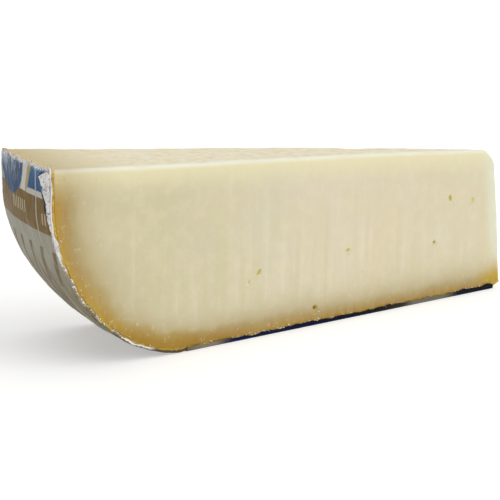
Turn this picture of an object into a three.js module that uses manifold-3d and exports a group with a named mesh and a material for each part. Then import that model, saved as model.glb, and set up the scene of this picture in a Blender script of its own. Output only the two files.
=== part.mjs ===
// A narrow wedge cut from a round goat cheese, with its rind coating and printed film.
// Millimetres, +Z up. The front cut face looks along -Y and the thin point of the wedge along +X.
import * as THREE from "three";
import { mergeVertices } from "three/addons/utils/BufferGeometryUtils.js";
import Module from "manifold-3d";

const wasm = await Module();
wasm.setup();

// The whole wheel, its axis upright at x = 0, y = 0
const wheelRadius = 159;
const shoulderWidth = 40; // how far the round shoulder reaches in over the base
const shoulderHeight = 43; // how high the round shoulder reaches up the side
const shoulderPower = 1.88; // 2 gives a true ellipse, less gives a flatter round
const wheelSegments = 288;

// The cuts
const rimHeight = 54; // height of the level cut at the wheel's side
const topFall = 0.04; // fall of that cut towards the point, per millimetre
const wedgeAngle = THREE.MathUtils.degToRad(15);
const pointLean = 6.5; // the point's foot stands this far ahead of its top
const pointThickness = 0.8; // the thin point is not a knife edge
const pointCorner = 3.5; // length of the worn corner at the top of the point
const edgeRound = 0.7; // softened edge around the front face

// The skins, from the outside in
const filmThickness = 0.3;
const rindThickness = 0.8;
const skinGap = 0.1;
const labelSeam = 3; // bare ring between the side film and the base film

// Eyes in the front face: x, height above the base, radius, stretch along x
const eyes = [
  [-19.4, 33.2, 0.9, 0.8],
  [-8.8, 31.5, 0.7, 1.1],
  [-25.3, 19.5, 0.9, 1.0],
  [-61.6, 21.5, 0.8, 1.0],
  [-94.7, 19.2, 1.0, 1.3],
  [-98.1, 16.8, 0.7, 1.2],
  [-73.7, 5.3, 0.8, 1.2],
];

const pointHeight = rimHeight - topFall * wheelRadius;
const rindInset = filmThickness + skinGap;
const cheeseInset = rindInset + rindThickness + skinGap;

// Turns a closed three.js geometry into a manifold solid
function toSolid(geometry) {
  const bare = geometry.index ? geometry.toNonIndexed() : geometry.clone();
  bare.deleteAttribute("normal");
  bare.deleteAttribute("uv");
  const merged = mergeVertices(bare, 1e-4);
  return new wasm.Manifold(
    new wasm.Mesh({
      numProp: 3,
      vertProperties: new Float32Array(merged.attributes.position.array),
      triVerts: new Uint32Array(merged.index.array),
    }),
  );
}

// Turns a manifold solid back into a flat-shaded three.js geometry
function toGeometry(solid) {
  const mesh = solid.getMesh();
  const geometry = new THREE.BufferGeometry();
  geometry.setAttribute("position", new THREE.BufferAttribute(new Float32Array(mesh.vertProperties), 3));
  geometry.setIndex(new THREE.BufferAttribute(new Uint32Array(mesh.triVerts), 1));
  const flat = geometry.toNonIndexed();
  flat.computeVertexNormals();
  return flat;
}

// One point of the wheel's outline, pushed inwards by inset: turn 0 is the side, turn 1 the base
function outlinePoint(turn, inset) {
  const angle = (turn * Math.PI) / 2;
  const power = 2 / shoulderPower;
  const radiusAt = (a) => wheelRadius - shoulderWidth * (1 - Math.cos(a) ** power);
  const heightAt = (a) => shoulderHeight * (1 - Math.sin(a) ** power);
  const before = Math.max(angle - 1e-3, 0);
  const after = Math.min(angle + 1e-3, Math.PI / 2 - 1e-9);
  const along = new THREE.Vector2(radiusAt(after) - radiusAt(before), heightAt(after) - heightAt(before));
  along.normalize();
  const point = new THREE.Vector2(radiusAt(angle), heightAt(angle));
  if (turn === 0) return point.add(new THREE.Vector2(-inset, 0));
  if (turn === 1) return point.add(new THREE.Vector2(0, inset));
  return point.add(new THREE.Vector2(along.y, -along.x).multiplyScalar(inset));
}

// The wheel's outline from the base to above the cut, between two turns
function outline(inset, lastTurn, steps) {
  const points = [];
  for (let i = 0; i <= steps; i += 1) {
    points.push(outlinePoint(lastTurn * (1 - i / steps), inset));
  }
  points.push(new THREE.Vector2(wheelRadius - inset, rimHeight + 6));
  return points;
}

function spin(points) {
  const lathe = new THREE.LatheGeometry(points, wheelSegments);
  lathe.rotateX(Math.PI / 2);
  return toSolid(lathe);
}

// The block that the front cut and the level cut leave, with its softened edges
function cutBlock() {
  const depth = 80;
  const below = -5;
  const behind = -wheelRadius - 20;
  const slope = new THREE.Vector2(-1, topFall).normalize().multiplyScalar(pointCorner);
  const edge = new THREE.Vector2(pointLean, -pointHeight).normalize().multiplyScalar(pointCorner);
  const outlineShape = new THREE.Shape();
  outlineShape.moveTo(behind, below);
  outlineShape.lineTo((pointLean * (pointHeight - below)) / pointHeight, below);
  outlineShape.lineTo(edge.x, pointHeight + edge.y);
  outlineShape.quadraticCurveTo(0, pointHeight, slope.x, pointHeight + slope.y);
  outlineShape.lineTo(behind, pointHeight - topFall * behind);
  outlineShape.closePath();
  const block = new THREE.ExtrudeGeometry(outlineShape, {
    depth: depth - 2 * edgeRound,
    curveSegments: 6,
    bevelThickness: edgeRound,
    bevelSize: edgeRound,
    bevelOffset: -edgeRound,
    bevelSegments: 3,
  });
  block.rotateX(Math.PI / 2);
  block.translate(0, depth - edgeRound, 0);
  return toSolid(block);
}

// Everything beyond the hidden far cut, whose plane leans with the point's edge
function beyondFarCut() {
  const lean = (Math.sin(wedgeAngle) * pointLean) / pointHeight;
  const normal = new THREE.Vector3(Math.sin(wedgeAngle), Math.cos(wedgeAngle), lean).normalize();
  const box = new THREE.BoxGeometry(600, 120, 300);
  box.translate(0, 60, 0);
  box.applyQuaternion(new THREE.Quaternion().setFromUnitVectors(new THREE.Vector3(0, 1, 0), normal));
  box.translate(0, pointThickness, pointHeight);
  return toSolid(box);
}

const block = cutBlock();
const beyond = beyondFarCut();

function wedgeOf(solid) {
  return solid.intersect(block).subtract(beyond);
}

// Cheese: the solid wedge inside its skins, with the small eyes in its front face
function makeCheese() {
  const points = outline(cheeseInset, 1, 22);
  points.unshift(new THREE.Vector2(0, cheeseInset));
  points.push(new THREE.Vector2(0, rimHeight + 6));
  let cheese = wedgeOf(spin(points));
  for (const [x, z, radius, stretch] of eyes) {
    const eye = new THREE.SphereGeometry(radius, 12, 8);
    eye.scale(stretch, 0.8, 1);
    eye.translate(x, 0.1, z);
    cheese = cheese.subtract(toSolid(eye));
  }
  return toGeometry(cheese);
}

// A skin of even thickness over the side and the shoulder, as far round as lastTurn
function sideSkin(inset, thickness, lastTurn) {
  const outside = outline(inset, lastTurn, 22);
  const inside = outline(inset + thickness, lastTurn, 22).reverse();
  return toGeometry(wedgeOf(spin([...outside, ...inside, outside[0]])));
}

// Rind coating: one skin over the side, the shoulder and the base
function makeRindCoating() {
  const outside = outline(rindInset, 1, 22);
  const inside = outline(rindInset + rindThickness, 1, 22).reverse();
  const points = [
    new THREE.Vector2(0, rindInset),
    ...outside,
    ...inside,
    new THREE.Vector2(0, rindInset + rindThickness),
  ];
  return toGeometry(wedgeOf(spin(points)));
}

// Base label: the flat printed film that the piece rests on
function makeBaseLabel() {
  const radius = wheelRadius - shoulderWidth;
  const points = [
    new THREE.Vector2(0, 0),
    new THREE.Vector2(radius, 0),
    new THREE.Vector2(radius, filmThickness),
    new THREE.Vector2(0, filmThickness),
  ];
  return toGeometry(wedgeOf(spin(points)));
}

// Share of the shoulder that the side film covers, so that a bare ring is left at the base film
function sideFilmTurn() {
  const reach = 1 - labelSeam / shoulderWidth;
  return Math.acos((1 - reach) ** (shoulderPower / 2)) / (Math.PI / 2);
}

function addPart(group, name, geometry, color, roughness) {
  const material = new THREE.MeshStandardMaterial({ color, roughness, metalness: 0 });
  const mesh = new THREE.Mesh(geometry, material);
  mesh.name = name;
  group.add(mesh);
}

const wedge = new THREE.Group();
addPart(wedge, "cheese", makeCheese(), 0xdfd3ae, 0.5);
addPart(wedge, "rind_coating", makeRindCoating(), 0xc79a3c, 0.55);
addPart(wedge, "side_label", sideSkin(0, filmThickness, sideFilmTurn()), 0x8c8572, 0.35);
addPart(wedge, "base_label", makeBaseLabel(), 0x2a3250, 0.35);

// The origin is the middle of the footprint, on the surface that the piece stands on
const box = new THREE.Box3().setFromObject(wedge);
const middle = box.getCenter(new THREE.Vector3());
wedge.position.set(-middle.x, -middle.y, -box.min.z);

export default wedge;
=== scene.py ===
import math
import random

import bmesh
import bpy
from mathutils import Matrix, Vector, noise


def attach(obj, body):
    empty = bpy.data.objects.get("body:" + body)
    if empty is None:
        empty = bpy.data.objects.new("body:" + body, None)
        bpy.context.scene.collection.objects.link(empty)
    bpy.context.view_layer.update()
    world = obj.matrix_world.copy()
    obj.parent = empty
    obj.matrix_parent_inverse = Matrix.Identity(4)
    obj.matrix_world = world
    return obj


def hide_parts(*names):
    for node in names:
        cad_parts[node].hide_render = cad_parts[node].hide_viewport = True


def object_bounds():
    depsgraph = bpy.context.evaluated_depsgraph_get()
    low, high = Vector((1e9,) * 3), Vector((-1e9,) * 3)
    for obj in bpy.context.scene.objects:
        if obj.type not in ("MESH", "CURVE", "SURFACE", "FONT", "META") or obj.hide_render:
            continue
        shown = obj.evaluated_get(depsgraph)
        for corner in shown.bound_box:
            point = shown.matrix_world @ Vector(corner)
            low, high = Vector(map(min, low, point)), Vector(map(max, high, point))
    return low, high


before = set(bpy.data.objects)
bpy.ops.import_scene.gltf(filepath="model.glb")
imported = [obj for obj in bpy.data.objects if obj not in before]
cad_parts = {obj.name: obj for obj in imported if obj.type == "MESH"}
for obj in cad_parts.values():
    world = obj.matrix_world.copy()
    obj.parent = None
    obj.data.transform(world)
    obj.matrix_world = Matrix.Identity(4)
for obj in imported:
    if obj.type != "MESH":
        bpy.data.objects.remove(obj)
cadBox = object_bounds()
random.seed(11)

# The wheel the wedge comes from, in millimetres. Its axis stands at x = 0, y = 0,
# the front cut lies on y = 0 and the wedge reaches from the side at -x to its point at x = 0.
wheel = {
    "radius": 159,
    "shoulderWidth": 40,
    "shoulderHeight": 43,
    "shoulderPower": 1.88,  # 2 is a true ellipse
    "rimHeight": 54,
    "topFall": 0.04,  # the level cut sinks this much per millimetre towards the point
    "angle": math.radians(15),
    "pointLean": 6.5,
    "pointThickness": 0.8,
    "segments": 288,  # of the full turn
    "above": 60,  # the uncut wheel is modelled this high
}
pointHeight = wheel["rimHeight"] - wheel["topFall"] * wheel["radius"]
farLean = math.sin(wheel["angle"]) * wheel["pointLean"] / pointHeight

# Each cut: a point on it and the direction that points off the cheese
cuts = {
    "front": (Vector((0, 0, 0)), Vector((0, -1, 0))),
    "far": (
        Vector((0, wheel["pointThickness"], pointHeight)),
        Vector((math.sin(wheel["angle"]), math.cos(wheel["angle"]), farLean)).normalized(),
    ),
    "top": (Vector((0, 0, pointHeight)), Vector((wheel["topFall"], 0, 1)).normalized()),
    "point": (Vector((0, 0, pointHeight)), Vector((pointHeight, 0, wheel["pointLean"])).normalized()),
}


def inside(name, place):
    # how far a place lies behind one of the cuts
    point, normal = cuts[name]
    return (point - place).dot(normal)


def underRind(place):
    # how far a place lies inside the wheel's outer skin
    inward = wheel["radius"] - math.hypot(place.x, place.y)
    power = wheel["shoulderPower"]
    sideShare = max(0.0, 1 - inward / wheel["shoulderWidth"])
    baseShare = max(0.0, 1 - place.z / wheel["shoulderHeight"])
    if sideShare == 0:
        return place.z
    if baseShare == 0:
        return inward
    reach = (sideShare**power + baseShare**power) ** (1 / power)
    return (1 - reach) * (wheel["shoulderWidth"] + wheel["shoulderHeight"]) / 2


def outwardAt(place):
    # the direction that points straight out of the wheel's skin
    power = wheel["shoulderPower"]
    inward = wheel["radius"] - math.hypot(place.x, place.y)
    sideShare = max(0.02, 1 - inward / wheel["shoulderWidth"])
    baseShare = max(0.0, 1 - place.z / wheel["shoulderHeight"])
    spoke = Vector((place.x, place.y, 0)).normalized() * sideShare ** (power - 1) / wheel["shoulderWidth"]
    return (spoke - Vector((0, 0, 1)) * baseShare ** (power - 1) / wheel["shoulderHeight"]).normalized()


def wobble(place, size, seed=0.0):
    return noise.noise(place / size + Vector((seed, seed * 1.7, -seed)))


def unit(value):
    # keeps a share between 0 and 1
    return min(1, max(0, value))


def everything(bm):
    return bm.verts[:] + bm.edges[:] + bm.faces[:]


def halfSection(bm, inset, segments):
    # one side of the wheel's section, with its lower corner bevelled into the round shoulder
    run = wheel["shoulderWidth"] - inset
    ratio = (wheel["shoulderHeight"] - inset) / run
    left = inset - wheel["radius"]
    high = (wheel["above"] - inset) / ratio
    corners = [bm.verts.new(p) for p in ((0, 0, 0), (left, 0, 0), (left, 0, high), (0, 0, high))]
    bm.faces.new(corners)
    bmesh.ops.bevel(
        bm, geom=[corners[1]], offset=run, segments=segments, profile=0.4785,
        affect="VERTICES", material=-1,
    )
    bmesh.ops.scale(bm, vec=(1, 1, ratio), verts=bm.verts)
    bmesh.ops.translate(bm, vec=(0, 0, inset), verts=bm.verts)
    bmesh.ops.delete(bm, geom=bm.faces[:], context="FACES_ONLY")


def dropEdges(bm, test):
    edges = [e for e in bm.edges if all(test(v.co) for v in e.verts)]
    bmesh.ops.delete(bm, geom=edges, context="EDGES")


def lathe(bm):
    bmesh.ops.spin(
        bm, geom=bm.verts[:] + bm.edges[:], cent=(0, 0, 0), axis=(0, 0, 1),
        angle=math.tau, steps=wheel["segments"], use_merge=True,
    )
    bmesh.ops.remove_doubles(bm, verts=bm.verts, dist=1e-4)
    bmesh.ops.recalc_face_normals(bm, faces=bm.faces)


def cutAway(bm, names, fill=False):
    for name in names:
        point, normal = cuts[name]
        found = bmesh.ops.bisect_plane(
            bm, geom=everything(bm), dist=1e-5, plane_co=point, plane_no=normal, clear_outer=True,
        )
        if fill:
            rim = [e for e in found["geom_cut"] if isinstance(e, bmesh.types.BMEdge)]
            bmesh.ops.edgeloop_fill(bm, edges=rim)


def score(bm, point, normal):
    bmesh.ops.bisect_plane(bm, geom=everything(bm), dist=1e-4, plane_co=point, plane_no=normal)


def steps(first, last, size):
    return [first + i * size for i in range(int((last - first) / size) + 1)]


def toPiece(bm, name, material, stands=None):
    # nothing goes below the floor, and millimetres become metres in the shared frame
    for v in bm.verts:
        v.co.z = max(v.co.z, 0)
    bmesh.ops.scale(bm, vec=(0.001, 0.001, 0.001), verts=bm.verts)
    bmesh.ops.translate(bm, vec=(cadBox[0].x + wheel["radius"] / 1000, cadBox[0].y, 0), verts=bm.verts)
    mesh = bpy.data.meshes.new(name)
    bm.to_mesh(mesh)
    bm.free()
    mesh.shade_smooth()
    mesh.set_sharp_from_angle(angle=math.radians(50))
    mesh.materials.append(material)
    piece = bpy.data.objects.new(name, mesh)
    bpy.context.scene.collection.objects.link(piece)
    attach(piece, "root")
    if stands:
        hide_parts(stands)
    print("made", name, len(mesh.polygons))
    return piece


def giveWall(piece, thickness, offset):
    # thickness is in millimetres: offset -1 puts it behind the sheet's faces, 1 in front of them
    wall = piece.modifiers.new("wall", "SOLIDIFY")
    wall.thickness = thickness / 1000
    wall.offset = offset


def faceTowards(bm, direction):
    # turns an open sheet so that its faces point roughly the given way
    bmesh.ops.recalc_face_normals(bm, faces=bm.faces)
    if sum(f.normal.dot(direction) for f in bm.faces) < 0:
        bmesh.ops.reverse_faces(bm, faces=bm.faces)


# Helpers for the material nodes

def paint(code):
    # a web colour as the linear numbers that the nodes use
    parts = [int(code[i:i + 2], 16) / 255 for i in (0, 2, 4)]
    return tuple(p / 12.92 if p <= 0.04045 else ((p + 0.055) / 1.055) ** 2.4 for p in parts)


def put(tree, value, socket):
    if isinstance(value, bpy.types.NodeSocket):
        tree.links.new(value, socket)
    elif socket.type == "RGBA":
        socket.default_value = (*value, 1)
    else:
        socket.default_value = value


def maths(tree, operation, *values, clamp=False):
    node = tree.nodes.new("ShaderNodeMath")
    node.operation = operation
    node.use_clamp = clamp
    for value, socket in zip(values, node.inputs):
        put(tree, value, socket)
    return node.outputs[0]


def times(tree, first, second):
    return maths(tree, "MULTIPLY", first, second)


def fade(tree, value, low, high, start=0.0, end=1.0):
    node = tree.nodes.new("ShaderNodeMapRange")
    node.interpolation_type = "SMOOTHSTEP"
    settings = {"Value": value, "From Min": low, "From Max": high, "To Min": start, "To Max": end}
    for name, given in settings.items():
        put(tree, given, node.inputs[name])
    return node.outputs["Result"]


def blend(tree, share, under, over, mode="MIX"):
    node = tree.nodes.new("ShaderNodeMix")
    node.data_type = "RGBA"
    node.blend_type = mode
    put(tree, share, node.inputs[0])
    put(tree, under, node.inputs[6])
    put(tree, over, node.inputs[7])
    return node.outputs[2]


def ramp(tree, value, stops):
    node = tree.nodes.new("ShaderNodeValToRGB")
    put(tree, value, node.inputs[0])
    marks = node.color_ramp.elements
    for i, (place, code) in enumerate(stops):
        mark = marks[i] if i < 2 else marks.new(place)
        mark.position = place
        mark.color = (*paint(code), 1)
    return node.outputs[0]


def stretched(tree, scale):
    # object coordinates, stretched for a pattern that runs one way
    where = tree.nodes.new("ShaderNodeTexCoord").outputs["Object"]
    node = tree.nodes.new("ShaderNodeMapping")
    node.inputs["Scale"].default_value = scale
    put(tree, where, node.inputs["Vector"])
    return node.outputs[0]


def cloud(tree, size, detail=3.0, where=None, rough=0.5):
    # soft noise around 0.5, its size in millimetres
    node = tree.nodes.new("ShaderNodeTexNoise")
    node.inputs["Scale"].default_value = 1000 / size
    node.inputs["Detail"].default_value = detail
    node.inputs["Roughness"].default_value = rough
    put(tree, where or stretched(tree, (1, 1, 1)), node.inputs["Vector"])
    return node.outputs[0]


def grains(tree, size, reach, share):
    # scattered round specks: cell size in millimetres, speck radius and share of cells
    node = tree.nodes.new("ShaderNodeTexVoronoi")
    node.inputs["Scale"].default_value = 1000 / size
    put(tree, stretched(tree, (1, 1, 1)), node.inputs["Vector"])
    chosen = tree.nodes.new("ShaderNodeSeparateColor")
    put(tree, node.outputs["Color"], chosen.inputs[0])
    kept = maths(tree, "GREATER_THAN", chosen.outputs[0], 1 - share)
    radius = times(tree, chosen.outputs[1], reach)
    near = maths(tree, "SUBTRACT", radius, node.outputs["Distance"])
    return times(tree, fade(tree, near, 0.0, 0.06), kept)


def attribute(tree, name):
    node = tree.nodes.new("ShaderNodeAttribute")
    node.attribute_name = name
    return node.outputs["Fac"]


def newMaterial(name, looks):
    # looks holds the plain shader settings by socket name
    material = bpy.data.materials.new(name)
    material.use_nodes = True
    tree = material.node_tree
    shader = tree.nodes["Principled BSDF"]
    for socket, value in looks.items():
        shader.inputs[socket].default_value = value
    return material, tree, shader


def relief(tree, shader, height, depth):
    # fine relief of the given depth in millimetres
    node = tree.nodes.new("ShaderNodeBump")
    node.inputs["Distance"].default_value = depth / 1000
    put(tree, height, node.inputs["Height"])
    put(tree, node.outputs[0], shader.inputs["Normal"])


# Stage, light and camera

stage = {
    "floor": paint("d2d2d1"),
    "reach": 40,  # half the floor's width, in metres
    "glow": 0.42,  # the floor is lit a little from below, like a light table
    "around": 0.28,  # strength of the even light
    # soft lamps: the direction towards each, how wide it looks and its strength
    "key": {"towards": (0.42, -0.70, 0.57), "width": 50, "power": 1.4},
    "over": {"towards": (0.05, 0.05, 1.0), "width": 80, "power": 1.45},
}
view = {"place": (-277.8, -249.0, 99.9), "yaw": 35.84, "pitch": 13.51, "roll": 0.95, "lens": 80.85}


def makeStage():
    bm = bmesh.new()
    bmesh.ops.create_grid(bm, x_segments=2, y_segments=2, size=stage["reach"])
    mesh = bpy.data.meshes.new("floor")
    bm.to_mesh(mesh)
    bm.free()
    floor = bpy.data.objects.new("floor", mesh)
    bpy.context.scene.collection.objects.link(floor)
    material, tree, shader = newMaterial("paleFloor", {"Roughness": 0.9})
    shader.inputs["Base Color"].default_value = (*stage["floor"], 1)
    shader.inputs["Emission Color"].default_value = (1, 1, 1, 1)
    shader.inputs["Emission Strength"].default_value = stage["glow"]
    mesh.materials.append(material)

    world = bpy.data.worlds.new("softLight")
    bpy.context.scene.world = world
    world.use_nodes = True
    world.node_tree.nodes["Background"].inputs["Color"].default_value = (1, 1, 1, 1)
    world.node_tree.nodes["Background"].inputs["Strength"].default_value = stage["around"]
    for name in ("key", "over"):
        setting = stage[name]
        lamp = bpy.data.lights.new(name, "SUN")
        lamp.angle = math.radians(setting["width"])
        lamp.energy = setting["power"]
        holder = bpy.data.objects.new(name, lamp)
        holder.rotation_euler = Vector(setting["towards"]).to_track_quat("Z", "Y").to_euler()
        bpy.context.scene.collection.objects.link(holder)
    bpy.context.scene.view_settings.view_transform = "Standard"


def makeCamera():
    yaw, pitch, roll = (math.radians(view[k]) for k in ("yaw", "pitch", "roll"))
    ahead = Vector((math.sin(yaw) * math.cos(pitch), math.cos(yaw) * math.cos(pitch), -math.sin(pitch)))
    level = Vector((math.cos(yaw), -math.sin(yaw), 0))
    upward = level.cross(ahead)
    right = math.cos(roll) * level + math.sin(roll) * upward
    data = bpy.data.cameras.new("camera")
    data.lens = view["lens"]
    data.clip_start = 0.01
    camera = bpy.data.objects.new("camera", data)
    turn = Matrix((right, right.cross(ahead), -ahead)).transposed().to_4x4()
    place = Vector(view["place"]) / 1000 + Vector((cadBox[0].x + wheel["radius"] / 1000, cadBox[0].y, 0))
    camera.matrix_world = Matrix.Translation(place) @ turn
    bpy.context.scene.collection.objects.link(camera)
    bpy.context.scene.camera = camera


makeStage()
makeCamera()
print("stage ready")


# The cheese itself

cheese = {
    "inset": 1.3,  # the skins' thickness
    "grid": 0.8,  # size of the surface's quads
    "cornerRound": 7.0,
    "edgeRound": 1.15,
    "pointRound": 0.35,
    "wave": 0.16,  # how far the cut faces are from flat
    "sag": 0.45,  # the long top edge sags this much between the side and the point
    "sagLength": 125,
    "wornFoot": 1.7,  # the foot of the point is worn up this much
    "nick": {"x": -50, "width": 3.0, "depth": 0.9},  # in the far edge
    # colours along the paste, from the side to the point, and from the rind inwards
    "paste": ((0.0, "cac29f"), (0.35, "d2cbb0"), (0.62, "d8ceb5"), (0.85, "d9cdb1"), (1.0, "d6ceb1")),
    "ripened": (
        (0.0, "ba983c"), (0.05, "b19049"), (0.13, "ac935d"), (0.24, "b09e70"), (0.38, "bcae87"),
        (0.6, "c5ba97"), (1.0, "d0c7a6"),
    ),
    # eyes: x, height, radius, stretch along x, lean, depth
    "eyes": (
        (-19.4, 33.2, 0.72, 1.5, 1.9, 0.5),
        (-8.8, 31.5, 0.95, 1.3, 1.5, 0.22),
        (-25.3, 19.5, 0.62, 1.1, 0.0, 0.5),
        (-61.6, 21.5, 0.65, 1.7, 0.3, 0.3),
        (-94.7, 19.2, 0.62, 2.3, 0.9, 0.4),
        (-98.1, 16.8, 0.5, 1.6, 1.2, 0.22),
        (-73.7, 5.3, 0.85, 1.2, -0.6, 0.9),
        (-55.6, 14.0, 0.4, 0.8, 0.0, 0.15),
    ),
}


# Kept on each vertex: how far it lies behind the rind and the cuts, and how deep it is in an eye
cheeseMarks = ("rind", "top", "point", "front", "hollow")


def roundPair(place, first, second, radius):
    # pulls a place near the corner of two cuts onto a round of the given radius
    depths = Vector((inside(first, place), inside(second, place)))
    if max(depths) >= radius:
        return place
    centre = Vector((radius, radius))
    spoke = depths - centre
    moved = centre + spoke.normalized() * radius - depths
    return place - cuts[first][1] * moved.x - cuts[second][1] * moved.y


def wornFoot(place):
    # the foot of the point is worn up a little
    return cheese["wornFoot"] * unit((place.x - 1) / 5.5) ** 1.5 * max(0, 1 - place.z / 7)


def softenCheese(vert, marks):
    place = vert.co.copy()
    onTop = inside("top", place)
    onPoint = inside("point", place)
    onFront = inside("front", place)
    onFar = inside("far", place)
    vert[marks["rind"]] = underRind(place) - cheese["inset"]
    vert[marks["top"]] = onTop
    vert[marks["point"]] = onPoint
    vert[marks["front"]] = onFront
    thickness = onFront + onFar
    for face, other in (("front", "top"), ("far", "top")):
        place = roundPair(place, face, other, min(cheese["edgeRound"], thickness * 0.45))
    for face, other in (("front", "point"), ("far", "point")):
        place = roundPair(place, face, other, min(cheese["pointRound"], thickness * 0.45))
    # the cut surfaces are never quite flat
    calm = min(1.0, max(0.0, vert[marks["rind"]]) / 4)
    wave = cheese["wave"]
    if onFront < 0.02:
        place.y += wave * calm * (wobble(vert.co, 22) + 0.4 * wobble(vert.co, 7, 3))
    if onTop < 0.02:
        place.z -= 0.10 + wave * wobble(vert.co, 9, 5) + 0.10 * wobble(vert.co, 3.5, 8)
    if onFar < 0.02:
        place.y -= wave * (wobble(vert.co, 18, 9) + 0.5 * wobble(vert.co, 6, 2))
    # the knife sagged a little along the top and wandered down the point
    nearTop = max(0.0, 1 - onTop / 12)
    sway = math.sin(math.pi * unit(-place.x / cheese["sagLength"]))
    place.z += nearTop * cheese["sag"] * sway - nearTop * 0.15
    place.z -= 0.7 * max(0.0, 1 - onPoint / 11) ** 2 * nearTop
    nearPoint = max(0.0, 1 - onPoint / 8)
    dent = 0.45 * math.exp(-((place.z - 38) / 3.5) ** 2)
    place.x += nearPoint * (0.35 * wobble(Vector((0, 0, place.z)), 7, 4) - dent)
    place.z += wornFoot(vert.co)
    nick = cheese["nick"]
    across = math.exp(-((place.x - nick["x"]) / nick["width"]) ** 2)
    place.z -= nick["depth"] * across * max(0, 1 - onFar / 2.5) * nearTop
    vert.co = place


def openEye(bm, eye, marks):
    x, z, radius, stretch, lean, depth = eye
    reach = radius * max(stretch, 1) * 1.9
    for again in range(2):
        near = {
            v for v in bm.verts
            if inside("front", v.co) < 0.9 and Vector((v.co.x - x, v.co.z - z)).length < reach
        }
        edges = [e for e in bm.edges if near.issuperset(e.verts)]
        bmesh.ops.subdivide_edges(bm, edges=edges, cuts=1, use_grid_fill=True)
    for v in bm.verts:
        away = Vector((v.co.x - x, v.co.z - z))
        if away.length > reach or inside("front", v.co) > 0.9:
            continue
        along = (away.x * math.cos(lean) + away.y * math.sin(lean)) / stretch
        across = away.y * math.cos(lean) - away.x * math.sin(lean)
        ragged = radius * (1 + 0.35 * wobble(v.co, 0.8, x))
        share = math.hypot(along, across) / ragged
        hollow = max(0.0, 1 - share**2.6)
        v.co.y += depth * hollow
        v[marks["hollow"]] = max(v[marks["hollow"]], hollow * min(1, depth * 1.25))


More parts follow.
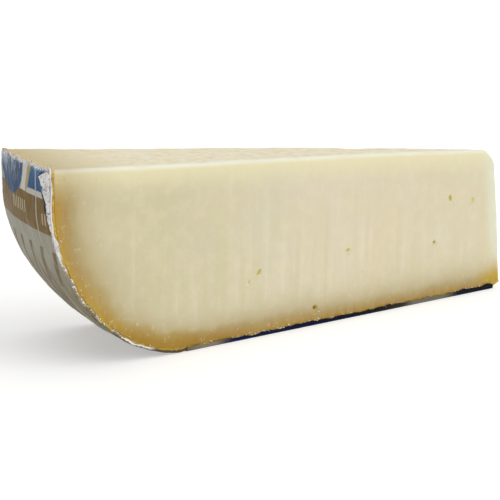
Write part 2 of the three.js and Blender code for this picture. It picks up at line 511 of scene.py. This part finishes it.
def makePaste():
    material, tree, shader = newMaterial("cutCheese", {
        "Roughness": 0.5, "IOR": 1.44, "Specular IOR Level": 0.22,
        "Subsurface Weight": 0.3, "Subsurface Radius": (1.0, 0.62, 0.28), "Subsurface Scale": 0.0035,
    })
    rind, top, point, front, hollow = (attribute(tree, n) for n in cheeseMarks)
    split = tree.nodes.new("ShaderNodeSeparateXYZ")
    put(tree, stretched(tree, (1, 1, 1)), split.inputs[0])
    left, low = split.outputs[0], split.outputs[2]
    along = fade(tree, left, -0.072, 0.062)
    patches = cloud(tree, 16, 3)
    curds = cloud(tree, 3.2, 4, rough=0.6)
    fine = cloud(tree, 0.7, 2)
    streaks = cloud(tree, 2.4, 3, stretched(tree, (1, 1, 0.045)))
    crystals = cloud(tree, 1.9, 3, rough=0.65)

    # the paste: darker and cooler towards the rind side, which is partly painted shade, and warmer towards
    # the point
    core = ramp(tree, along, cheese["paste"])
    core = blend(tree, fade(tree, patches, 0.35, 0.68, 0.0, 0.35), core, paint("d8cba8"))
    core = blend(tree, fade(tree, curds, 0.4, 0.7, 0.0, 0.20), core, paint("e9ddc4"))
    combed = times(tree, fade(tree, low, 0.010, 0.046, 0.34, 0.08), fade(tree, left, 0.01, 0.06, 1.0, 0.3))
    core = blend(tree, times(tree, fade(tree, streaks, 0.52, 0.68), combed), core, paint("e6dcc6"))
    core = blend(tree, times(tree, fade(tree, streaks, 0.48, 0.34), combed), core, paint("c7c08f"))

    # painted light: paler and yellower just under the level cut, as if lit from above and through the thin
    # edge, with a painted highlight on its rounded edge, and a paler band of painted light along the thin
    # point
    skin = blend(tree, fade(tree, top, 0.3, 9.0, 0.75, 0.0), core, paint("e6dfb6"))
    skin = blend(tree, fade(tree, top, 0.1, 1.8, 0.8, 0.0), skin, paint("e6e5d6"))
    skin = blend(tree, fade(tree, point, 0.0, 7.0, 0.8, 0.0), skin, paint("d9d9b6"))
    skin = blend(tree, fade(tree, point, 0.5, 6.0, 0.8, 0.0), skin, paint("dadccb"))
    # the level cut is more mottled, and warmer towards the rim
    level = blend(tree, fade(tree, curds, 0.42, 0.62, 0.0, 0.7), paint("ede4c8"), paint("dfd2ab"))
    level = blend(tree, fade(tree, crystals, 0.5, 0.66, 0.0, 0.5), level, paint("f1eadb"))
    level = blend(tree, fade(tree, rind, 2.0, 34.0, 0.85, 0.0), level, paint("dccda4"))
    onLevel = times(tree, fade(tree, top, 0.15, 0.7, 1.0, 0.0), fade(tree, front, 0.9, 2.6))
    skin = blend(tree, onLevel, skin, level)

    # the darker zone that ripens under the rind: narrow along the base, and wide at the side, where its
    # width is partly painted shade
    drift = maths(tree, "MULTIPLY_ADD", patches, 3.0, -1.5)
    drift = maths(tree, "ADD", drift, maths(tree, "MULTIPLY_ADD", curds, 2.4, -1.2))
    drift = times(tree, drift, fade(tree, rind, 0.0, 4.0))
    width = fade(tree, low, 0.004, 0.028, 1.65, 1.0)
    deep = times(tree, maths(tree, "ADD", rind, drift), width)
    zone = ramp(tree, maths(tree, "DIVIDE", deep, 20.0, clamp=True), cheese["ripened"])
    # yellower round the shoulder and at the foot of the point
    shoulder = fade(tree, left, -0.052, -0.025, 1.0, 0.0)
    shoulder = times(tree, shoulder, fade(tree, low, 0.010, 0.032, 1.0, 0.0))
    shoulder = times(tree, shoulder, fade(tree, deep, 1.0, 9.0, 0.55, 0.0))
    tip = times(tree, fade(tree, point, 3.0, 14.0, 1.0, 0.0), fade(tree, deep, 3.0, 16.0, 0.95, 0.0))
    yellow = maths(tree, "MAXIMUM", shoulder, tip)
    zone = blend(tree, yellow, zone, paint("bb9b34"))
    # darker still low at the side, under the shoulder, near the rind
    lowSideCorner = times(tree, fade(tree, left, -0.078, -0.058), fade(tree, left, -0.040, -0.012, 1.0, 0.0))
    lowSideCorner = times(tree, lowSideCorner, fade(tree, low, 0.006, 0.014, 0.7, 0.0))
    lowSideCorner = times(tree, lowSideCorner, fade(tree, deep, 1.0, 8.0, 1.0, 0.0))
    zone = blend(tree, lowSideCorner, zone, paint("9b7729"))
    brushed = cloud(tree, 1.2, 3, stretched(tree, (1, 1, 0.12)))
    brushed = times(tree, fade(tree, brushed, 0.46, 0.66, 0.0, 0.28), fade(tree, deep, 1.5, 7.0, 1.0, 0.0))
    zone = blend(tree, brushed, zone, paint("a5742e"))
    share = fade(tree, deep, 5.0, 23.0, 1.0, 0.0)
    # the ripened zone fades near the level cut: painted light from above
    share = times(tree, share, fade(tree, top, 0.5, 10.0, 0.4, 1.0))
    colour = blend(tree, share, skin, zone)

    # crystals and crumbs, thickest near the rind
    soft = times(tree, fade(tree, crystals, 0.58, 0.78, 0.0, 0.36), fade(tree, rind, 3.0, 24.0, 0.8, 0.35))
    colour = blend(tree, soft, colour, paint("ece3cf"))
    rusty = times(tree, fade(tree, crystals, 0.44, 0.34, 0.0, 0.4), fade(tree, deep, 0.5, 5.0, 1.0, 0.0))
    colour = blend(tree, rusty, colour, paint("a97f38"))
    dust = times(tree, grains(tree, 1.3, 0.2, 0.3), fade(tree, rind, 1.0, 8.0, 0.38, 0.0))
    colour = blend(tree, dust, colour, paint("e9dec2"))
    # inside the eyes: their own yellow, turning dark brown where a hollow is deepest, which is painted
    # shade
    inEye = ramp(tree, hollow, ((0.25, "cfbf68"), (0.62, "c2aa47"), (1.0, "84591f")))
    colour = blend(tree, fade(tree, hollow, 0.0, 0.35, 0.0, 0.95), colour, inEye)
    put(tree, colour, shader.inputs["Base Color"])
    put(tree, fade(tree, curds, 0.3, 0.7, 0.44, 0.6), shader.inputs["Roughness"])
    height = maths(tree, "ADD", times(tree, streaks, 0.4), times(tree, fine, 0.35))
    height = maths(tree, "ADD", height, times(tree, curds, 0.5))
    relief(tree, shader, height, 0.12)
    return material


def makeCheese():
    bm = bmesh.new()
    halfSection(bm, cheese["inset"], 26)
    dropEdges(bm, lambda p: abs(p.x) < 1e-6)
    lathe(bm)
    cutAway(bm, ("front", "far", "top", "point"), fill=True)
    worn = {v for v in bm.verts if all(abs(inside(n, v.co)) < 0.01 for n in ("top", "point"))}
    corner = [e for e in bm.edges if worn.issuperset(e.verts)]
    bmesh.ops.bevel(
        bm, geom=corner, offset=cheese["cornerRound"], segments=14, profile=0.5,
        affect="EDGES", material=-1,
    )
    grid = cheese["grid"]
    for x in steps(-157.5, 6, grid):
        score(bm, (x, 0, 0), (1, 0, 0))
    base = cheese["inset"]
    fine = [0.08, 0.2, 0.38, 0.6, 0.85, 1.15]  # rows that carry the rounded edges
    high = pointHeight - base
    for row in steps(grid, high - 2 * grid, grid) + [high - d for d in reversed(fine)]:
        score(bm, (0, 0, base + row), (wheel["topFall"] * (row / high), 0, 1))
    for y in fine[:-1] + steps(fine[-1], 42, 1.2):
        score(bm, (0, y, 0), (0, 1, 0))
    farPoint, farNormal = cuts["far"]
    for d in fine:
        score(bm, farPoint - farNormal * d, farNormal)
    marks = {n: bm.verts.layers.float.new(n) for n in cheeseMarks}
    for v in bm.verts:
        softenCheese(v, marks)
    for eye in cheese["eyes"]:
        openEye(bm, eye, marks)
    bmesh.ops.triangulate(bm, faces=[f for f in bm.faces if len(f.verts) > 4])
    toPiece(bm, "cheese_wedge", makePaste(), "cheese")


makeCheese()


# The rind coating: a waxy skin between the cheese and the film

rindCoat = {
    "inset": 0.3, "thickness": 1.08, "grid": 0.7,
    "tones": ((0.32, "a07a35"), (0.45, "b4912f"), (0.55, "c5a63f"), (0.68, "ad8a4c")),
    "dried": "cdb98e",  # on the level cut
}


def makeCoatMaterial():
    material, tree, shader = newMaterial("rindCoat", {
        "Roughness": 0.55, "Specular IOR Level": 0.2,
        "Subsurface Weight": 0.15, "Subsurface Scale": 0.001,
    })
    split = tree.nodes.new("ShaderNodeSeparateXYZ")
    put(tree, stretched(tree, (1, 1, 1)), split.inputs[0])
    patches = cloud(tree, 5, 4, rough=0.65)
    fine = cloud(tree, 0.9, 3, rough=0.6)
    colour = ramp(tree, patches, rindCoat["tones"])
    # it dries paler and more mottled on the level cut
    onTop = fade(tree, split.outputs[2], 0.0526, 0.0534)
    colour = blend(tree, times(tree, onTop, 0.75), colour, paint(rindCoat["dried"]))
    colour = blend(tree, fade(tree, fine, 0.56, 0.68, 0.0, 0.65), colour, paint("e2d6ba"))
    colour = blend(tree, fade(tree, fine, 0.42, 0.32, 0.0, 0.6), colour, paint("98651f"))
    put(tree, colour, shader.inputs["Base Color"])
    relief(tree, shader, fine, 0.15)
    return material


def makeRindCoat():
    bm = bmesh.new()
    halfSection(bm, rindCoat["inset"], 40)
    dropEdges(bm, lambda p: abs(p.x) < 1e-6)
    dropEdges(bm, lambda p: p.z > wheel["above"] - 0.1)
    lathe(bm)
    # one flat face instead of a fan of thin ones round the axis
    bmesh.ops.dissolve_verts(bm, verts=[v for v in bm.verts if math.hypot(v.co.x, v.co.y) < 1e-3])
    cutAway(bm, ("front", "far", "top", "point"))
    for x in steps(-158, 6, rindCoat["grid"]):
        score(bm, (x, 0, 0), (1, 0, 0))
    for z in steps(1, 53, rindCoat["grid"]):
        score(bm, (0, 0, z), (0, 0, 1))
    for y in (0.35, 0.8, 1.5, 3, 6, 12, 20, 28, 36):
        score(bm, (0, y, 0), (0, 1, 0))
    bmesh.ops.remove_doubles(bm, verts=bm.verts, dist=0.02)
    bm.normal_update()
    turned = [f for f in bm.faces if f.normal.dot(outwardAt(f.calc_center_median())) < 0]
    bmesh.ops.reverse_faces(bm, faces=turned)
    for v in bm.verts:
        place = v.co.copy()
        if inside("front", place) < 0.01:
            v.co.y += 0.06 + 0.12 * wobble(place, 1.7, 1) + 0.1 * wobble(place, 5, 6)
        if inside("top", place) < 0.01:
            v.co.z += 0.16 * wobble(place, 1.6, 2) - 0.2
        v.co.z += wornFoot(place)
    piece = toPiece(bm, "rind_skin", makeCoatMaterial(), "rind_coating")
    giveWall(piece, rindCoat["thickness"], -1)


makeRindCoat()


# The printed film over the side and the shoulder

film = {
    "thickness": 0.28,
    "arcStep": 0.45,  # size of the surface's quads round the wheel
    "arc": 16,  # degrees, a little past the far cut
    "bare": 39.8,  # the film stops this far in over the shoulder
    "tear": 0.35,  # raggedness of the torn edges
    "lip": 0.8,  # how far the torn edge curls over the front cut
    # the film's colours carry painted shade, the plain film most of all: the film is near white, and the
    # side faces away from the key lamp
    "colours": {
        "shadedPlain": "9c9886", "band": "745920", "blue": "29547f", "white": "e2dfdc", "shoulderShade": "6d603c",
    },
    # the printed shapes, in millimetres round the side and down from the level cut
    "bandTop": 8.0, "bandFoot": 17.0,
    "disc": (29.3, -2.0, 12.4),  # its middle and radius
    "block": (2.6, 14.5, 6.5),  # its two sides and its foot
    "bars": (21.5, 33.0, 4.1),  # top, foot and half of their spacing
    "ticks": ((10.4, 13.6, 16.6, 28.4), (11.8, 14.8, 2.1, 6.5)),  # two rows: top, foot, first and last
    "seam": (8.35, 9.05),  # pale line down the film
}

# Kept on each vertex: its way round and down the film, and how near a torn edge and the gap beside the
# flap are, where shadow is painted
filmMarks = ("around", "down", "tear", "flapShadow")

# The piece of film that tore loose beside the cut: how far down, and how wide it is there
flap = {
    "outline": (
        (0.6, 0.3), (1.4, 2.6), (2.3, 4.9), (4.5, 3.5), (7.0, 2.1), (8.6, 0.9), (12.0, 0.8), (15.6, 0.25),
    ),
    # the gaps are painted dark on the film as the flap's shadow
    "gaps": ((1.9, 1.3), (9.2, 2.2)),  # dark gaps beside it: how far down, and half their height
    "lift": 0.5,
    "thickness": 0.12,
    "colours": {"white": "efecea", "grey": "bab4b4", "ink": "4a5078"},
}


def flapWidth(down):
    marks = flap["outline"]
    if not marks[0][0] <= down <= marks[-1][0]:
        return 0.0
    for (upper, wide), (lower, narrow) in zip(marks, marks[1:]):
        if down <= lower:
            return wide + (narrow - wide) * (down - upper) / (lower - upper)


def gapBeside(around, down):
    # how far a place on the film is from the gap beside the flap, where a shadow is painted dark
    loose = flapWidth(down)
    if loose <= 0.3:
        return 9
    hidden = 0.55 + 0.95 * min(1, (flap["outline"][-1][0] - down) / 6)
    beyond = min(abs(down - middle) - half for middle, half in flap["gaps"])
    return abs(around - loose - hidden - 0.55) + 0.5 * max(0, beyond)


def filmPlace(around, height):
    # a place on the film's outer surface, from its way round the side and its height
    width, high, power = (wheel[k] for k in ("shoulderWidth", "shoulderHeight", "shoulderPower"))
    share = max(0.0, 1 - height / high)
    radius = wheel["radius"] - width * (1 - (1 - share**power) ** (1 / power))
    turn = around / wheel["radius"]
    return Vector((-radius * math.cos(turn), radius * math.sin(turn), height))


def paleEdge(height):
    # where the torn edge along the front shows its white core
    upper = unit((height - 27) / 6)
    lower = unit((8.5 - height) / 3)
    return max(upper, lower)


def lipWidth(place):
    # how far the torn edge curls over the front cut: less beside the flap and low down
    upright = Vector((0, 0, place.z))
    width = film["lip"] * (1 + 0.5 * wobble(upright, 9, 3) + 0.6 * wobble(place, 1.9, 5))
    besideFlap = unit((place.z - 35) / 4)
    lowDown = unit((8 - place.z) / 3)
    return max(0.12, width * (1 - 0.62 * besideFlap - 0.3 * lowDown))


def makeFilmMaterial():
    material, tree, shader = newMaterial("printedFilm", {"Roughness": 0.45, "Specular IOR Level": 0.1})
    around, down, tear, flapShadow = (attribute(tree, n) for n in filmMarks)
    shade = {n: paint(c) for n, c in film["colours"].items()}

    def along(stretch):
        # the film's own coordinates, squeezed so that a pattern runs down it
        node = tree.nodes.new("ShaderNodeCombineXYZ")
        put(tree, times(tree, around, 0.001), node.inputs[0])
        put(tree, times(tree, down, 0.001 * stretch), node.inputs[1])
        return node.outputs[0]

    def between(value, low, high, soft=0.12):
        up = fade(tree, value, low - soft, low + soft)
        return times(tree, up, fade(tree, value, high - soft, high + soft, 1.0, 0.0))

    patches = cloud(tree, 7, 4, rough=0.6)
    fine = cloud(tree, 0.6, 3, rough=0.6)
    scuffs = cloud(tree, 1.5, 5, along(0.22), rough=0.7)
    runs = cloud(tree, 3.4, 4, along(0.05), rough=0.6)
    shaky = maths(tree, "MULTIPLY_ADD", fine, 0.5, -0.25)
    downShaky = maths(tree, "ADD", down, shaky)
    aroundShaky = maths(tree, "ADD", around, shaky)

    shadedPlain = blend(tree, fade(tree, patches, 0.35, 0.7, 0.0, 0.4), shade["shadedPlain"], paint("8c8876"))
    # painted shade over the shoulder, which faces down, and long creases there
    low = fade(tree, down, 22, 38)
    shadedPlain = blend(tree, times(tree, low, 0.75), shadedPlain, shade["shoulderShade"])
    shadedPlain = blend(tree, times(tree, low, fade(tree, runs, 0.50, 0.57, 0.0, 0.9)), shadedPlain, paint("5c4d33"))
    shadedPlain = blend(tree, times(tree, low, fade(tree, runs, 0.47, 0.40, 0.0, 0.7)), shadedPlain, paint("a29c86"))
    # painted shade, darkest where the film turns under the shoulder
    shadedPlain = blend(tree, fade(tree, down, 58, 66, 0.0, 0.75), shadedPlain, paint("574a38"))

    # slanted bars low on the film
    barTop, barFoot, spacing = film["bars"]
    slant = maths(tree, "SUBTRACT", aroundShaky, times(tree, down, 0.45))
    wave = maths(tree, "PINGPONG", slant, spacing)
    bars = times(tree, fade(tree, wave, 0.95, 1.3, 1.0, 0.0), between(downShaky, barTop, barFoot))
    colour = blend(tree, times(tree, bars, 0.9), shadedPlain, paint("6d5d3b"))

    # brown band with two rows of plain ticks, and a pale line above it
    worn = fade(tree, scuffs, 0.5, 0.68, 0.0, 0.28)
    band = blend(tree, worn, shade["band"], paint("8b7538"))
    band = blend(tree, fade(tree, patches, 0.5, 0.65, 0.0, 0.5), band, paint("664f1e"))
    colour = blend(tree, between(downShaky, film["bandTop"], film["bandFoot"]), colour, band)
    ticks = fade(tree, maths(tree, "PINGPONG", around, 0.85), 0.28, 0.42, 1.0, 0.0)
    for top, foot, first, last in film["ticks"]:
        row = times(tree, between(downShaky, top, foot), between(around, first, last))
        colour = blend(tree, times(tree, times(tree, ticks, row), 0.7), colour, paint("c9bfa2"))
    pale = times(tree, between(down, 6.4, 8.0), between(around, -1, 15.5))
    colour = blend(tree, pale, colour, paint("bdbab0"))

    # block, strips and disc
    inkTop = blend(tree, fade(tree, down, 0.5, 6.5, 0.45, 0.0), shade["blue"], paint("4f82ac"))
    ink = blend(tree, fade(tree, scuffs, 0.56, 0.68, 0.0, 0.4), shade["blue"], paint("8fa9c0"))
    ink = blend(tree, fade(tree, scuffs, 0.52, 0.40, 0.0, 0.9), ink, paint("17385a"))
    ink = blend(tree, 0.48, ink, paint("152f52"))
    left, right, foot = film["block"]
    lean = maths(tree, "MULTIPLY_ADD", down, -0.5, around)
    white = times(tree, between(lean, 12.6, 16.6, 0.3), between(down, -2, 7.9))
    colour = blend(tree, times(tree, white, 0.85), colour, paint("cfcfcc"))
    block = times(tree, between(aroundShaky, left, right), between(lean, -5, 11.2))
    colour = blend(tree, times(tree, block, between(downShaky, -2, foot)), colour, inkTop)
    strip = times(tree, between(lean, 10.9, 13.0), between(down, -2, 7.2))
    colour = blend(tree, strip, colour, paint("ad9863"))
    discX, discY, radius = film["disc"]
    across = maths(tree, "POWER", maths(tree, "SUBTRACT", aroundShaky, discX), 2.0)
    lengthways = maths(tree, "POWER", maths(tree, "SUBTRACT", downShaky, discY), 2.0)
    away = maths(tree, "SQRT", maths(tree, "ADD", across, lengthways))
    middle = fade(tree, away, radius - 2.6, radius - 1.6, 1.0, 0.0)
    middle = times(tree, middle, fade(tree, down, 1.5, 8.5, 1.0, 0.0))
    ink = blend(tree, times(tree, middle, fade(tree, scuffs, 0.47, 0.62, 0.0, 0.85)), ink, paint("b9c6d0"))
    colour = blend(tree, fade(tree, away, radius - 0.15, radius + 0.15, 1.0, 0.0), colour, ink)
    seam = times(tree, between(aroundShaky, *film["seam"]), fade(tree, down, 17, 22, 0.8, 0.0))
    colour = blend(tree, seam, colour, paint("b7b3a4"))

    # painted shadow in the gap beside the loose flap, then the rubbed corner and the torn edges
    broken = cloud(tree, 2.3, 2)
    flapShadow = maths(tree, "ADD", flapShadow, maths(tree, "MULTIPLY_ADD", broken, 3.0, -1.4))
    colour = blend(tree, fade(tree, flapShadow, 0.55, 0.8, 0.95, 0.0), colour, paint("1d1620"))
    rubbed = times(tree, fade(tree, around, 27, 36), fade(tree, down, 1.0, 4.5, 0.85, 0.0))
    rubbed = times(tree, rubbed, fade(tree, fine, 0.4, 0.5))
    colour = blend(tree, rubbed, colour, paint("d5d8dc"))
    ragged = maths(tree, "ADD", tear, maths(tree, "MULTIPLY_ADD", fine, -2.4, 1.2))
    edge = blend(tree, fade(tree, patches, 0.47, 0.62, 0.0, 0.8), shade["white"], paint("b2ada9"))
    # the torn edge darkens with painted shade where it turns under the shoulder
    edge = blend(tree, fade(tree, down, 62, 66), edge, paint("4f4434"))
    colour = blend(tree, fade(tree, ragged, 0.2, 0.5, 1.0, 0.0), colour, edge)
    put(tree, colour, shader.inputs["Base Color"])
    put(tree, fade(tree, scuffs, 0.4, 0.7, 0.4, 0.62), shader.inputs["Roughness"])
    height = maths(tree, "ADD", times(tree, patches, 1.5), times(tree, scuffs, 0.5))
    height = maths(tree, "ADD", height, times(tree, times(tree, runs, low), 1.4))
    relief(tree, shader, height, 0.45)
    return material


def makeSideFilm():
    bm = bmesh.new()
    halfSection(bm, 0, 130)
    dropEdges(bm, lambda p: p.x > film["bare"] - wheel["radius"])
    dropEdges(bm, lambda p: p.z > wheel["above"] - 0.1)
    straight = [e for e in bm.edges if all(v.co.z > wheel["shoulderHeight"] - 0.01 for v in e.verts)]
    bmesh.ops.subdivide_edges(bm, edges=straight, cuts=34)
    marks = {n: bm.verts.layers.float.new(n) for n in filmMarks}
    chain = sorted(bm.verts, key=lambda v: (-v.co.z, v.co.x))
    travelled = wheel["rimHeight"] - chain[0].co.z
    for above, below in zip([chain[0]] + chain, chain):
        travelled += (below.co - above.co).length
        below[marks["down"]] = travelled
    arc = math.radians(film["arc"])
    bmesh.ops.spin(
        bm, geom=bm.verts[:] + bm.edges[:], cent=(0, 0, 0), axis=(0, 0, 1), angle=-arc,
        steps=int(arc * wheel["radius"] / film["arcStep"]), use_merge=False,
    )
    faceTowards(bm, Vector((-1, 0, 0)))
    cutAway(bm, ("far", "top"))
    for v in bm.verts:
        place = v.co.copy()
        v[marks["around"]] = math.atan2(place.y, -place.x) * wheel["radius"]
        fromFront, fromTop, fromFar = (inside(n, place) for n in ("front", "top", "far"))
        v[marks["tear"]] = min(fromFront + 1.5 * (1 - paleEdge(place.z)), 0.55 * fromTop, 0.7 * fromFar)
        v[marks["flapShadow"]] = gapBeside(v[marks["around"]], v[marks["down"]])
        v.co += outwardAt(place) * (0.18 * wobble(place, 6, 1) + 0.08 * wobble(place, 2, 4) - 0.05)
        frontRag = wobble(place, 1.3, 2) + wobble(place, 4, 5)
        topRag = 0.3 + wobble(place, 1.1, 7) + 1.2 * wobble(place, 3.5, 3)
        v.co.y += 0.5 * film["tear"] * math.exp(-fromFront / 0.8) * frontRag
        v.co.z += film["tear"] * math.exp(-fromTop / 0.8) * topRag
        v.co.z -= 1.3 * math.exp(-fromTop / 3) * math.exp(-fromFar / 2.5)
    # the torn edge curls over the front cut, more in some places than in others
    lip = [e for e in bm.edges if e.is_boundary and all(v[marks["around"]] < 0.01 for v in e.verts)]
    for ahead, reach in ((0.08, 0.02), (0.13, 0.12), (0.12, 1.0)):
        made = bmesh.ops.extrude_edge_only(bm, edges=lip)["geom"]
        lip = [g for g in made if isinstance(g, bmesh.types.BMEdge)]
        for v in [g for g in made if isinstance(g, bmesh.types.BMVert)]:
            place = v.co.copy()
            v.co -= outwardAt(place) * lipWidth(place) * reach
            v.co.y -= ahead - 0.08 * (reach == 1)
            pale = paleEdge(place.z)
            outer = unit((place.z - 20) / 6) * pale
            inner = -0.6 * pale + (1 - pale) * 0.22
            v[marks["tear"]] = inner if reach == 1 else 1.0 - 1.6 * outer
            # the lip beside the flap takes a little of the painted shadow
            v[marks["flapShadow"]] = 9 if pale > 0.5 or reach == 1 else 0.75
    piece = toPiece(bm, "side_film", makeFilmMaterial(), "side_label")
    giveWall(piece, film["thickness"], -1)


makeSideFilm()


def makeFlapMaterial():
    material, tree, shader = newMaterial("tornFilm", {"Roughness": 0.6, "Specular IOR Level": 0.2})
    shade = {n: paint(c) for n, c in flap["colours"].items()}
    patches = cloud(tree, 2.2, 4, rough=0.65)
    fine = cloud(tree, 0.7, 3, rough=0.6)
    colour = blend(tree, fade(tree, patches, 0.50, 0.64, 0.0, 0.7), shade["white"], shade["grey"])
    colour = blend(tree, fade(tree, fine, 0.57, 0.64, 0.0, 0.85), colour, shade["ink"])
    colour = blend(tree, fade(tree, fine, 0.40, 0.33, 0.0, 0.5), colour, paint("8d7653"))
    put(tree, colour, shader.inputs["Base Color"])
    relief(tree, shader, fine, 0.2)
    return material


def makeFlap():
    bm = bmesh.new()
    bmesh.ops.create_grid(bm, x_segments=12, y_segments=44, size=1)
    first, last = flap["outline"][0][0], flap["outline"][-1][0]
    for v in bm.verts:
        share = (v.co.x + 1) / 2
        down = first + (last - first) * (v.co.y + 1) / 2
        ragged = 1 + 0.22 * share * wobble(Vector((down, 0, 0)), 0.9, 4)
        place = filmPlace(flapWidth(down) * share * ragged, wheel["rimHeight"] - down)
        outward = outwardAt(place)
        calm = min(1, (last - down) / 6)
        rise = 0.16 + flap["lift"] * share**1.3 * calm + 0.25 * calm * wobble(place, 1.5, 2)
        v.co = place + outward * max(0.08, rise)
        v.co.y -= 0.25 * (1 - share) ** 2
    faceTowards(bm, Vector((-1, 0, 0)))
    piece = toPiece(bm, "film_flap", makeFlapMaterial())
    giveWall(piece, flap["thickness"], 0)


makeFlap()


# The dark film under the base, with the lip that the knife left along the front

baseFilm = {
    "thickness": 0.26, "radius": 119, "grid": 0.6, "lip": 0.8,
    "end": 3.1,  # it stops short of the worn foot of the point
    # colours from the side to the point
    "along": (
        (0.0, "62573f"), (0.12, "857a66"), (0.17, "0c1438"), (0.5, "050a1e"), (0.58, "1a1412"),
        (0.64, "302a26"), (0.69, "716a5a"), (0.78, "6e6b58"), (0.83, "0b121e"), (1.0, "070c16"),
    ),
}


def makeBaseFilmMaterial():
    material, tree, shader = newMaterial("baseFilm", {"Roughness": 0.55, "Specular IOR Level": 0.08})
    split = tree.nodes.new("ShaderNodeSeparateXYZ")
    put(tree, stretched(tree, (1, 1, 1)), split.inputs[0])
    patches = cloud(tree, 9, 4, rough=0.65)
    fine = cloud(tree, 0.5, 3, rough=0.7)
    place = maths(tree, "ADD", split.outputs[0], maths(tree, "MULTIPLY_ADD", patches, 0.012, -0.006))
    along = maths(tree, "MULTIPLY_ADD", place, 7.407, 0.370, clamp=True)
    colour = ramp(tree, along, baseFilm["along"])
    colour = blend(tree, fade(tree, fine, 0.66, 0.74, 0.0, 0.5), colour, paint("a9a59c"))
    put(tree, colour, shader.inputs["Base Color"])
    relief(tree, shader, fine, 0.1)
    return material


def makeBaseFilm():
    bm = bmesh.new()
    bmesh.ops.create_circle(bm, cap_ends=True, segments=wheel["segments"], radius=baseFilm["radius"])
    bmesh.ops.translate(bm, vec=(0, 0, baseFilm["thickness"]), verts=bm.verts)
    cutAway(bm, ("front", "far", "point"))
    bmesh.ops.bisect_plane(
        bm, geom=everything(bm), dist=1e-5, plane_co=(baseFilm["end"], 0, 0), plane_no=(1, 0, 0),
        clear_outer=True,
    )
    for x in steps(-118.5, 6, baseFilm["grid"]):
        score(bm, (x, 0, 0), (1, 0, 0))
    for y in (0.4, 1, 2, 4, 8, 14, 20, 26):
        score(bm, (0, y, 0), (0, 1, 0))
    lip = [e for e in bm.edges if e.is_boundary and all(v.co.y < 1e-4 for v in e.verts)]
    for rise, out in ((0.05, -0.10), (0.3, -0.04), (0.35, 0.0), (0.35, 0.04)):
        made = bmesh.ops.extrude_edge_only(bm, edges=lip)["geom"]
        lip = [g for g in made if isinstance(g, bmesh.types.BMEdge)]
        moved = [g for g in made if isinstance(g, bmesh.types.BMVert)]
        bmesh.ops.translate(bm, vec=(0, out, rise * baseFilm["lip"]), verts=moved)
    for v in bm.verts:
        if v.co.y < 0.01:
            height = max(0, v.co.z - baseFilm["thickness"])
            taller = 0.7 * unit((v.co.x + 110) / 110)
            v.co.z += height * (taller + 0.5 * wobble(v.co, 2.2, 3) + 0.5 * wobble(v.co, 7, 6))
            v.co.y += 0.07 * wobble(v.co, 1.2, 8)
    faceTowards(bm, Vector((0, 0, -1)))
    piece = toPiece(bm, "base_film", makeBaseFilmMaterial(), "base_label")
    giveWall(piece, baseFilm["thickness"], 1)


makeBaseFilm()


# Crumbs of cheese, rind and film that the knife left along the edges

crumbs = {
    "alongBase": 220, "alongSide": 45, "alongRim": 70, "besideEyes": 7,
    "size": (0.09, 0.30),
    "tones": ("efe9da", "e4d6b4", "c79f55", "7f5a30"),
}


def addCrumb(bm, tone, place, size, shade):
    made = bmesh.ops.create_icosphere(bm, subdivisions=1, radius=size)["verts"]
    for v in made:
        v.co *= random.uniform(0.75, 1.25)
        v[tone] = shade
    bmesh.ops.scale(bm, vec=[random.uniform(0.6, 1.4) for axis in range(3)], verts=made)
    bmesh.ops.rotate(bm, matrix=Matrix.Rotation(random.uniform(0, 3), 3, "Y"), verts=made)
    bmesh.ops.translate(bm, vec=place, verts=made)


def makeCrumbMaterial():
    material, tree, shader = newMaterial("crumbs", {"Roughness": 0.65, "Specular IOR Level": 0.2})
    tones = crumbs["tones"]
    stops = [(0.25 + 0.22 * i, code) for i, code in enumerate(tones)]
    colour = ramp(tree, attribute(tree, "tone"), stops)
    fine = cloud(tree, 0.3, 2)
    colour = blend(tree, fade(tree, fine, 0.5, 0.65, 0.0, 0.4), colour, paint("b08a4a"))
    put(tree, colour, shader.inputs["Base Color"])
    relief(tree, shader, fine, 0.08)
    return material


def makeCrumbs():
    bm = bmesh.new()
    tone = bm.verts.layers.float.new("tone")
    small, large = crumbs["size"]
    for i in range(crumbs["alongBase"]):
        x = random.triangular(-121, 4, -108) if i % 2 else random.uniform(-119, 5)
        size = random.triangular(small, large, small)
        height = 0.85 + 0.5 * max(0, (x + 110) / 110) + random.gauss(0.3, 0.25)
        addCrumb(bm, tone, (x, -0.12, max(size * 1.8, height)), size, random.triangular(0.1, 0.9, 0.2))
    for i in range(crumbs["alongSide"]):
        height = random.uniform(1.5, 36)
        skin = filmPlace(0, height)
        inward = outwardAt(skin) * -random.triangular(0.5, 2.4, 0.8)
        size = random.triangular(small, large * 0.65, small)
        addCrumb(bm, tone, skin + inward + Vector((0, -0.1, 0)), size, random.triangular(0.2, 0.75, 0.45))
    for i in range(crumbs["alongRim"]):
        turn = random.uniform(0, wheel["angle"])
        radius = wheel["radius"] - random.triangular(0.4, 5.5, 1.0)
        x, y = -radius * math.cos(turn), radius * math.sin(turn)
        size = random.triangular(small, large, small)
        place = (x, y, pointHeight - wheel["topFall"] * x - 0.05)
        addCrumb(bm, tone, place, size * 0.8, random.triangular(0.1, 0.62, 0.3))
    for x, z, radius, stretch, lean, depth in cheese["eyes"]:
        for i in range(crumbs["besideEyes"]):
            turn = random.gauss(-1.9, 0.9)
            away = radius * random.uniform(1.2, 2.6)
            size = random.triangular(small, large * 0.8, small)
            place = (x + away * math.cos(turn), -0.02, z + away * math.sin(turn))
            addCrumb(bm, tone, place, size, random.triangular(0.05, 0.4, 0.15))
    toPiece(bm, "edge_crumbs", makeCrumbMaterial())


makeCrumbs()
